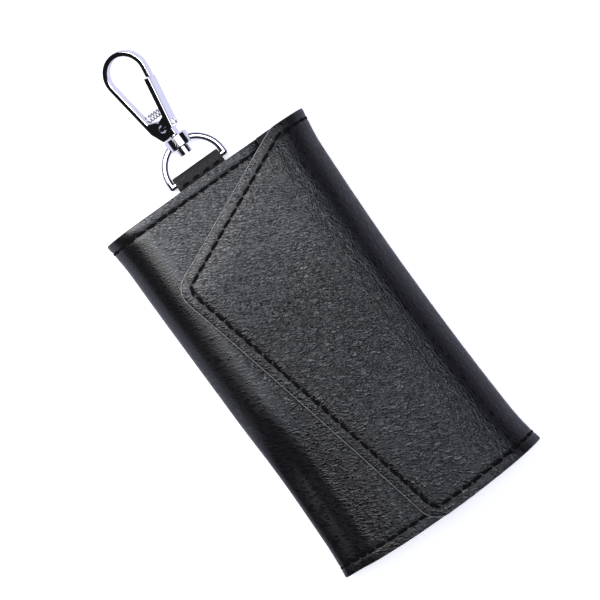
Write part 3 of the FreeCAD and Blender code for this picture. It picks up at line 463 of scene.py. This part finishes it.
# Fold bands: black suede strips, 0.8 mm thick, glued over the inside of both folds between the linings.
# The short nap takes no gloss and only catches a little light at its edges.
def suede(name, dark, pale):
    material, tree = new_material(name)
    place = add_node(tree, "TexCoord").outputs["Object"]
    nap = add_node(tree, "TexNoise", {"Vector": place, "Scale": 3200.0, "Detail": 3.0})
    brushed = add_node(tree, "TexNoise", {"Vector": place, "Scale": 160.0, "Detail": 2.0})
    tone = add_node(tree, "Math", {0: nap.outputs["Fac"], 1: 0.5, 2: brushed.outputs["Fac"]},
                    operation="MULTIPLY_ADD")
    colour = add_node(tree, "Mix", {0: tone.outputs[0], 6: linear(dark), 7: linear(pale)},
                      data_type="RGBA")
    bump = add_node(tree, "Bump", {"Height": nap.outputs["Fac"], "Strength": 0.5, "Distance": 0.0002})
    skin = add_node(tree, "BsdfPrincipled", {
        "Base Color": colour.outputs[2], "Roughness": 0.95, "Normal": bump.outputs[0],
        "Sheen Weight": 0.25, "Sheen Roughness": 0.4})
    add_node(tree, "OutputMaterial", {"Surface": skin.outputs[0]})
    return material


black_suede = suede("black_suede", "#060607", "#131315")
band_low = wrap_sheet(
    "right_band_low", BAND_LOW_RIGHT, RIGHT_SPLIT, 0.8, plain_edges, [], LAYERS, LINING,
    inside=True, relief=0)
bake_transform(band_low)
band_high = wrap_sheet(
    "right_band_high", RIGHT_SPLIT, BAND_HIGH_RIGHT, 0.8, plain_edges, [], LAYERS, LINING,
    inside=True, lift=flap_lift, relief=0)
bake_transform(band_high)
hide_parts("right_band")
band_left = wrap_sheet(
    "left_fold_band", BAND_HIGH_LEFT, BAND_LOW_LEFT, 0.8, plain_edges, [], LAYERS, LINING,
    inside=True, lift=panel_lift, relief=0)
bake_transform(band_left)
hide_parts("left_band")
for band in (band_low, band_high, band_left):
    band.data.materials.append(black_suede)
    band.data.materials.append(dark_edge)

# Seams: a lockstitch of thick black waxed thread, 3 mm inside every edge, 3.5 mm a stitch.
# Each stitch sinks into the leather at both ends, so the row reads as short dark dashes in a groove.
PITCH = 3.5
STITCH_LONG, STITCH_WIDE, STITCH_HIGH = 3.3, 0.95, 0.5
STITCH_SUNK, STITCH_DIP, STITCH_SLANT = 0.1, 0.18, 0.07
BLUNT = 0.7


def seam_path(corners, start, end):
    """Points of the line that lies SEAM_IN inside the cut edge, round its corners, in order."""
    spots = [start]
    for centre, radius, out_a, out_b in corners:
        inner = max(radius - SEAM_IN, 0.01)
        for i in range(9):
            spots.append(centre + (out_a * (1 - i / 8) + out_b * (i / 8)).normalized() * inner)
    spots.append(end)
    return spots


def sew(name, spots, face, inside, lift, body_a, body_b=None, put=laid):
    """Sets stitches along a seam path, on the outer face or on the lining."""
    side = -1 if inside else 1
    bpy.ops.object.select_all(action="DESELECT")
    bpy.ops.mesh.primitive_uv_sphere_add(segments=8, ring_count=5, radius=0.5, rotation=(0, math.pi / 2, 0))
    pattern = bpy.context.object
    bpy.ops.object.transform_apply(rotation=True)
    shape = [v.co.copy() for v in pattern.data.vertices]
    faces = [tuple(p.vertices) for p in pattern.data.polygons]
    bpy.data.objects.remove(pattern)
    lengths = [(b - a).length for a, b in zip(spots, spots[1:])]
    count = int(sum(lengths) / PITCH)
    points, sides = [], []
    for i in range(count):
        reach = (i + 0.5) * sum(lengths) / count
        for a, b, length in zip(spots, spots[1:], lengths):
            if reach <= length:
                break
            reach -= length
        ahead = (b - a).normalized()
        across = Vector((-ahead.y, ahead.x))
        first = len(points)
        for local in shape:
            share = math.copysign(abs(2 * local.x) ** BLUNT, local.x)
            spot = a + ahead * (reach + share * STITCH_LONG / 2)
            spot += across * (local.y * STITCH_WIDE + share * STITCH_SLANT)
            dip = STITCH_DIP * share * share
            rise = (lift(spot.x, spot.y, SEAM_IN) if lift else 0) - face
            rise += side * (local.z * STITCH_HIGH - STITCH_SUNK - dip)
            points.append(put(spot.x, spot.y, rise))
        sides += [tuple(first + c for c in face_corners) for face_corners in faces]
    mesh = bpy.data.meshes.new(name)
    mesh.from_pydata(points, [], sides)
    seam = bpy.data.objects.new(name, mesh)
    bpy.context.scene.collection.objects.link(seam)
    bpy.context.view_layer.objects.active = seam
    seam.select_set(True)
    bpy.ops.object.mode_set(mode="EDIT")
    bpy.ops.mesh.select_all(action="SELECT")
    bpy.ops.mesh.normals_make_consistent(inside=False)
    bpy.ops.object.mode_set(mode="OBJECT")
    bpy.ops.object.shade_smooth()
    seam.data.materials.append(waxed_thread)
    if body_b:
        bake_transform(seam)
    else:
        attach(seam, body_a)


# Waxed polyester thread: near black, with a faint gloss and the twist of its three plies.
waxed_thread, tree = new_material("waxed_black_thread")
place = add_node(tree, "TexCoord").outputs["Object"]
plies = add_node(tree, "TexWave", {"Vector": place, "Scale": 900.0, "Distortion": 1.5},
                 bands_direction="DIAGONAL")
colour = add_node(tree, "Mix", {0: plies.outputs["Fac"], 6: linear("#010102"), 7: linear("#060607")},
                  data_type="RGBA")
bump = add_node(tree, "Bump", {"Height": plies.outputs["Fac"], "Strength": 0.4, "Distance": 0.00008})
skin = add_node(tree, "BsdfPrincipled", {
    "Base Color": colour.outputs[2], "Roughness": 0.8, "Specular IOR Level": 0.12,
    "Normal": bump.outputs[0]})
add_node(tree, "OutputMaterial", {"Surface": skin.outputs[0]})

seam_top, seam_low = CASE_HALF - SEAM_IN, SEAM_IN - CASE_HALF
right_top, right_low = Vector((RIGHT_SPLIT, seam_top)), Vector((RIGHT_SPLIT, seam_low))
left_top, left_low = Vector((LEFT_SPLIT, seam_top)), Vector((LEFT_SPLIT, seam_low))
flap_seam = seam_path(flap_corners, right_top, right_low)
panel_seam = seam_path(panel_corners, left_top, left_low)
back_seams = [[left_top, right_top], [left_low, right_low]]
for inside, face, word in ((False, 0, "outer"), (True, LAYERS, "inner")):
    sew("flap_seam_" + word, flap_seam, face, inside, flap_lift, "right_spine", "flap")
    sew("panel_seam_" + word, panel_seam, face, inside, panel_lift, "back", "front_panel")
    for end, spots in zip(("top", "low"), back_seams):
        sew("back_seam_" + end + "_" + word, spots, face, inside, None,
            "back", "right_spine")


# Hook strap: a band of smooth black leather, 15.4 mm wide, sewn on the back, looped round the bar
# of the ring and sewn down again just outside the case.
ROUNDED_WIDE = 0.6
MARGIN = 2.0


def arc(middle_y, middle_z, radius, angles):
    """Points in Y and Z on a circle, at angles in degrees from below it."""
    turns = [math.radians(a) for a in angles]
    return [(middle_y + radius * math.sin(t), middle_z - radius * math.cos(t)) for t in turns]


def loop_sheet(name, path, wide, middle, thick, step, rounding):
    """Bends a strip along a path in Y and Z, given as its outer side, and gives it its thickness."""
    steps = [(Vector(b) - Vector(a)).length for a, b in zip(path, path[1:])]
    total = sum(steps)
    bpy.ops.object.select_all(action="DESELECT")
    bpy.ops.mesh.primitive_grid_add(
        x_subdivisions=round(wide / step), y_subdivisions=round(total / step), size=2)
    piece = bpy.context.object
    piece.name = piece.data.name = name
    places = []
    for corner in piece.data.vertices:
        reach = (corner.co.y + 1) / 2 * total
        across = corner.co.x * wide / 2
        gap = (1 - abs(corner.co.x)) * wide / 2
        places.append((across, reach, min(gap, MARGIN)))
        for i, length in enumerate(steps):
            if reach <= length or i == len(steps) - 1:
                break
            reach -= length
        spot = Vector(path[i]).lerp(Vector(path[i + 1]), reach / length)
        ahead = (Vector(path[i + 1]) - Vector(path[i])).normalized()
        press = rounding * max(1 - gap / ROUNDED_WIDE, 0) ** 2
        spot += Vector((ahead.y, -ahead.x)) * press
        corner.co = ((middle + across) * MM, spot.x * MM, spot.y * MM)
    note_strip(piece, places)
    wall = piece.modifiers.new("thickness", "SOLIDIFY")
    wall.thickness = thick * MM
    wall.offset = -1
    bpy.ops.object.modifier_apply(modifier=wall.name)
    bpy.ops.object.shade_smooth_by_angle(angle=SMOOTH_TURN)
    return piece


STRAP_WIDE, STRAP_LAYER, STRAP_END = 15.4, 0.8, 52.5
STRAP_SEAM_Y, STRAP_SEAM_HALF, STRAP_TOP = 58.6, 7.0, 5.13
BAR_Y, BAR_Z, LOOP_R = 60.05, 3.15, 1.95
strap_path = [(STRAP_END, LEATHER), (55.0, LEATHER), (58.0, LEATHER), (BAR_Y, LEATHER)]
strap_path += arc(BAR_Y, BAR_Z, LOOP_R, range(10, 120, 10))
strap_path += [(61.7, 4.15), (61.2, 4.6), (60.5, 4.95), (59.6, STRAP_TOP), (STRAP_SEAM_Y, STRAP_TOP)]
strap_path += [(57.8, 4.9), (57.35, 4.4), (57.1, 3.3), (56.7, 2.8), (STRAP_END, 2.8)]
strap_path.reverse()
smooth_hide = cowhide("smooth_black_strap", "#030304", "#111113", "#2a2a2d",
                      gloss=0.52, pebble=0.6, emboss=0.9, worn=0.5)
strap = loop_sheet("strap_loop", strap_path, STRAP_WIDE, 0.0, STRAP_LAYER, step=0.5, rounding=0.2)
strap.data.materials.append(smooth_hide)
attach(strap, "back")
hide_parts("hook_strap")


def strap_top(x, y, rise):
    """Point in metres over the flat top of the strap loop."""
    return x * MM, y * MM, (STRAP_TOP + rise) * MM


strap_seam = [Vector((-STRAP_SEAM_HALF, STRAP_SEAM_Y)), Vector((STRAP_SEAM_HALF, STRAP_SEAM_Y))]
sew("strap_seam", strap_seam, 0, False, None, "back", put=strap_top)

# Ring tab: a tongue of the outer leather folded round the split ring and riveted to the front panel.
# Both ends of the tongue lie on each other and are cut to one half circle.
TAB_WIDE, TAB_LAYER, TAB_X = 18.0, 1.0, -2.4
TAB_END, TAB_ROUND = -47.0, -38.0
SLOT_LOW, SLOT_HIGH, SLOT_R, RING_LEVEL = -25.45, -22.85, 1.85, 8.45
PANEL_INSIDE, TAB_LOW = 11.3, 9.3
turn_out = SLOT_R + TAB_LAYER
turn_low = RING_LEVEL - turn_out
tab_path = [(y, PANEL_INSIDE) for y in (TAB_END, -40.0, -30.0, SLOT_HIGH)]
tab_path += arc(SLOT_HIGH, RING_LEVEL, turn_out, range(170, 0, -10))
tab_path += [(SLOT_HIGH, turn_low), (SLOT_LOW - 0.6, turn_low), (SLOT_LOW - 1.8, 6.1)]
tab_path += [(SLOT_LOW - 3.2, 8.4), (SLOT_LOW - 4.6, TAB_LOW), (-32.0, TAB_LOW), (TAB_END, TAB_LOW)]
tab = loop_sheet("ring_tongue", tab_path, TAB_WIDE, TAB_X, TAB_LAYER, step=0.6, rounding=0.0)
bpy.ops.object.mode_set(mode="EDIT")
for degrees in range(-85, 86, 10):
    out = Vector((math.sin(math.radians(degrees)), -math.cos(math.radians(degrees)), 0))
    rim = Vector((TAB_X, TAB_ROUND, 0)) * MM + out * (TAB_WIDE / 2 * MM)
    bpy.ops.mesh.select_all(action="SELECT")
    bpy.ops.mesh.bisect(plane_co=rim, plane_no=out, clear_outer=True, use_fill=True)
bpy.ops.object.mode_set(mode="OBJECT")
bpy.ops.object.shade_smooth_by_angle(angle=SMOOTH_TURN)
tab.data.materials.append(smooth_hide)
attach(tab, "front_panel")
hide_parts("ring_tab")


# Metal fittings: zinc castings, pressed steel and wire, polished and bright chrome plated; the snaps and
# the washer of the tongue are satin nickel. Fine polishing lines and a faint haze soften the mirror.
SMEAR = 0.09


def chrome(name, code, haze, lines):
    material, tree = new_material(name)
    place = add_node(tree, "TexCoord").outputs["Object"]
    smear = add_node(tree, "TexNoise", {"Vector": place, "Scale": 260.0, "Detail": 3.0})
    rough = add_node(tree, "MapRange", {
        "Value": smear.outputs["Fac"], "To Min": haze, "To Max": haze + SMEAR})
    polish = add_node(tree, "TexNoise", {"Vector": place, "Scale": lines, "Detail": 2.0})
    bump = add_node(tree, "Bump", {"Height": polish.outputs["Fac"], "Strength": 0.08, "Distance": 0.00004})
    skin = add_node(tree, "BsdfPrincipled", {
        "Base Color": linear(code), "Metallic": 1.0, "Roughness": rough.outputs[0],
        "Normal": bump.outputs[0]})
    add_node(tree, "OutputMaterial", {"Surface": skin.outputs[0]})
    return material


bright_chrome = chrome("bright_chrome_plate", "#e6e6ec", haze=0.04, lines=2600.0)
nickel_plate = chrome("nickel_plate", "#dedcd8", haze=0.3, lines=3400.0)
for name, node in nodes.items():
    if node.hide_render:
        continue
    node.data.materials.clear()
    dull = name.startswith(("snap_", "tab_rivet_washer"))
    node.data.materials.append(nickel_plate if dull else bright_chrome)

# Gate spring: 5.5 turns of 0.4 mm spring steel between the left limb and the gate of the hook.
# The real spring shortens as the gate is pressed in; this one keeps its rest length and moves with the
# hook.
ROLL, TILT = math.radians(30), math.radians(4.5)
hook_turn = Matrix.Rotation(TILT, 3, "X") @ Matrix.Rotation(-ROLL, 3, "Y")
bar_spot = Vector((0, BAR_Y, BAR_Z))
SPRING_S, SPRING_START, SPRING_END = 19.6, -3.85, 1.75
SPRING_R, WIRE_R, SPRING_TURNS, TURN_POINTS = 1.0, 0.2, 5.5, 20
steel = chrome("spring_steel", "#b9bac0", haze=0.16, lines=3000.0)
coil = bpy.data.curves.new("gate_coil", "CURVE")
coil.dimensions = "3D"
coil.bevel_depth = WIRE_R * MM
coil.bevel_resolution = 3
coil.use_fill_caps = True
turns = coil.splines.new("POLY")
turns.points.add(int(SPRING_TURNS * TURN_POINTS))
for i, point in enumerate(turns.points):
    share = i / (len(turns.points) - 1)
    angle = share * SPRING_TURNS * 2 * math.pi
    across = SPRING_START + share * (SPRING_END - SPRING_START)
    local = Vector((across, SPRING_S + SPRING_R * math.cos(angle), SPRING_R * math.sin(angle)))
    point.co = ((bar_spot + hook_turn @ local) * MM).to_4d()
spring = bpy.data.objects.new("gate_coil", coil)
bpy.context.scene.collection.objects.link(spring)
bpy.ops.object.select_all(action="DESELECT")
bpy.context.view_layer.objects.active = spring
spring.select_set(True)
bpy.ops.object.convert(target="MESH")
spring = bpy.context.object
bpy.ops.object.shade_smooth()
spring.data.materials.append(steel)
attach(spring, "snap_hook")
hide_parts("gate_spring")
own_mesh(spring)

# Floor: a wide sheet of white paper under the case, lit almost to pure white.
# In the reflections it is dimmer and a little blue, so that chrome and leather keep their dark sides.
FLOOR_SEEN, FLOOR_MIRRORED = 0.55, 1.3
bpy.ops.object.select_all(action="DESELECT")
bpy.ops.mesh.primitive_circle_add(vertices=96, radius=3.5, fill_type="NGON", location=(0, 0, -0.0002))
floor = bpy.context.object
floor.name = "paper_floor"
paper, tree = new_material("white_paper")
place = add_node(tree, "TexCoord").outputs["Object"]
path = add_node(tree, "LightPath")
fibre = add_node(tree, "TexNoise", {"Vector": place, "Scale": 40.0, "Detail": 2.0})
tone = add_node(tree, "Mix", {0: fibre.outputs["Fac"], 6: linear("#f4f4f5"), 7: linear("#fafafa")},
                data_type="RGBA")
mirrored = path.outputs["Is Glossy Ray"]
tone = add_node(tree, "Mix", {0: mirrored, 6: tone.outputs[2], 7: linear("#9898a6")}, data_type="RGBA")
matt = add_node(tree, "BsdfDiffuse", {"Color": tone.outputs[2]})
seen = add_node(tree, "Math", {0: path.outputs["Is Camera Ray"], 1: path.outputs["Is Transmission Ray"]},
                operation="MAXIMUM")
seen = add_node(tree, "Math", {0: seen.outputs[0], 1: FLOOR_SEEN}, operation="MULTIPLY")
seen = add_node(tree, "Math", {0: mirrored, 1: FLOOR_MIRRORED, 2: seen.outputs[0]},
                operation="MULTIPLY_ADD")
glow = add_node(tree, "Emission", {"Color": tone.outputs[2], "Strength": seen.outputs[0]})
both = add_node(tree, "AddShader", {0: matt.outputs[0], 1: glow.outputs[0]})
add_node(tree, "OutputMaterial", {"Surface": both.outputs[0]})
floor.data.materials.append(paper)

# Studio: a soft light overhead in a dark room with pale low walls, and a nearer softbox towards the hook
# end of the case, which makes the upper left of the picture the brightest.
OVERHEAD_GLOW, ROOM_GLOW, WALL_GLOW, NEAR_GLOW = 4.45, 0.01, 0.2, 7
world = bpy.data.worlds.new("studio")
bpy.context.scene.world = world
world.use_nodes = True
tree = world.node_tree
tree.nodes.clear()
look = add_node(tree, "TexCoord").outputs["Generated"]
aim = Vector((0.21, -0.05, 1.0)).normalized()
toward = add_node(tree, "VectorMath", {0: look, 1: aim}, operation="DOT_PRODUCT")
broad = add_node(tree, "MapRange", {
    "Value": toward.outputs["Value"], "From Min": 0.86, "From Max": 0.975,
    "To Min": ROOM_GLOW, "To Max": OVERHEAD_GLOW},
    interpolation_type="SMOOTHSTEP")
height = add_node(tree, "SeparateXYZ", {"Vector": look}).outputs["Z"]
wall = add_node(tree, "MapRange", {
    "Value": height, "From Min": 0.02, "From Max": 0.2, "To Min": WALL_GLOW, "To Max": 0.0},
    interpolation_type="SMOOTHSTEP")
light = add_node(tree, "Math", {0: broad.outputs[0], 1: wall.outputs[0]}, operation="ADD")
sky = add_node(tree, "Background", {"Color": linear("#e6eafa"), "Strength": light.outputs[0]})
add_node(tree, "OutputWorld", {"Surface": sky.outputs[0]})
near_box = bpy.data.lights.new("near_softbox", "AREA")
near_box.shape = "RECTANGLE"
near_box.size, near_box.size_y = 0.15, 0.15
near_box.energy = NEAR_GLOW * math.pi * near_box.size * near_box.size_y
softbox = bpy.data.objects.new("near_softbox", near_box)
softbox.location = (-0.075, 0.13, 0.185)
softbox.rotation_euler = (math.radians(-26), math.radians(-10), 0)
bpy.context.scene.collection.objects.link(softbox)

# Camera: almost straight above the case, at the turn of the photograph.
lens = bpy.data.cameras.new("photo_camera")
lens.sensor_width = 36
lens.lens = 192.6
camera = bpy.data.objects.new("photo_camera", lens)
camera.location = (-0.03942, -0.00705, 0.90682)
camera.rotation_euler = [math.radians(a) for a in (2.578, -1.370, -35.712)]
bpy.context.scene.collection.objects.link(camera)
bpy.context.scene.camera = camera
bpy.context.scene.view_settings.view_transform = "Standard"
